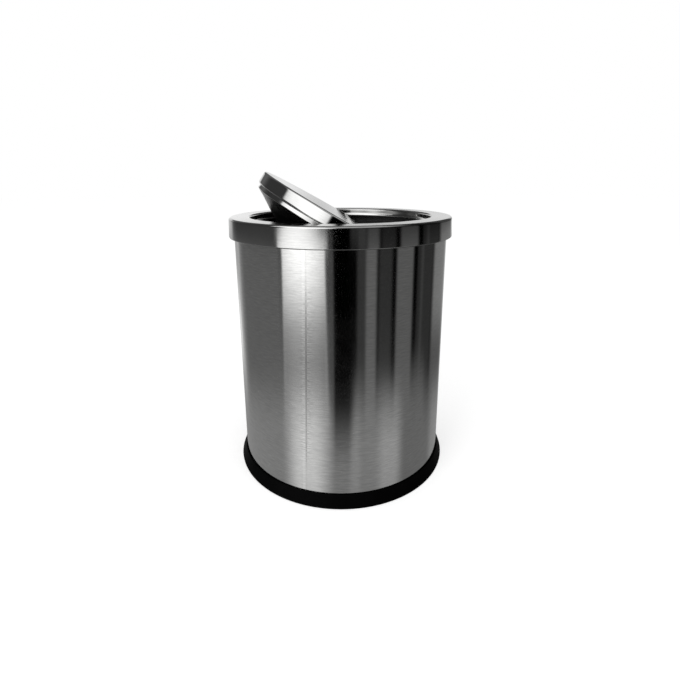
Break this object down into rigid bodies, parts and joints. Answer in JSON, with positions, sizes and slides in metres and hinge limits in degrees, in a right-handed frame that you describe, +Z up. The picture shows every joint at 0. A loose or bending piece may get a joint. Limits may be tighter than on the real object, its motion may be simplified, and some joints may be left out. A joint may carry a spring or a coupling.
{
  "type": "swing lid waste bin",
  "caption": "Round brushed-steel waste bin: straight body, flared black base ring, lift-off cap ring, round swing lid on two pins, and a hanging inner bucket.",
  "frame": {"origin": "centre of the base ring on the floor", "axes": "+Z up; the lid swings about the Y axis, and its raised side is towards -X"},
  "size_m": [0.2418, 0.2418, 0.3261],
  "materials": {
    "body_steel": "fine horizontal brushing",
    "cap_steel": "fine circular brushing",
    "lid_steel": "fine straight brushing on the top, circular on the bands",
    "bottom_steel": "mill finish sheet",
    "base_plastic": "smooth black moulding",
    "bucket_plastic": "fine matt grain",
    "bush_nylon": "smooth",
    "pivot_steel": "bright zinc"
  },
  "bodies": {
    "body": {"outer_body": "body_steel", "bottom_panel": "bottom_steel", "base_ring": "base_plastic"},
    "bucket": {"inner_bucket": "bucket_plastic"},
    "cap": {"cap_ring": "cap_steel", "front_pivot_bush": "bush_nylon", "rear_pivot_bush": "bush_nylon"},
    "lid": {"lid_top_shell": "lid_steel", "lid_bottom_shell": "lid_steel", "front_pivot_pin": "pivot_steel", "rear_pivot_pin": "pivot_steel", "front_pivot_washer": "pivot_steel", "rear_pivot_washer": "pivot_steel", "front_pivot_nut": "pivot_steel", "rear_pivot_nut": "pivot_steel"}
  },
  "joints": [
    {"name": "bucket_lift", "type": "slide", "parent": "body", "child": "bucket", "axis": [0, 0, 1], "range_m": [0, 0.27]},
    {"name": "cap_lift", "type": "slide", "parent": "bucket", "child": "cap", "axis": [0, 0, 1], "range_m": [0, 0.13]},
    {"name": "lid_swing", "type": "hinge", "parent": "cap", "child": "lid", "pos_m": [0, 0, 0.2752], "axis": [0, 1, 0], "range_deg": [-120, 60]}
  ]
}
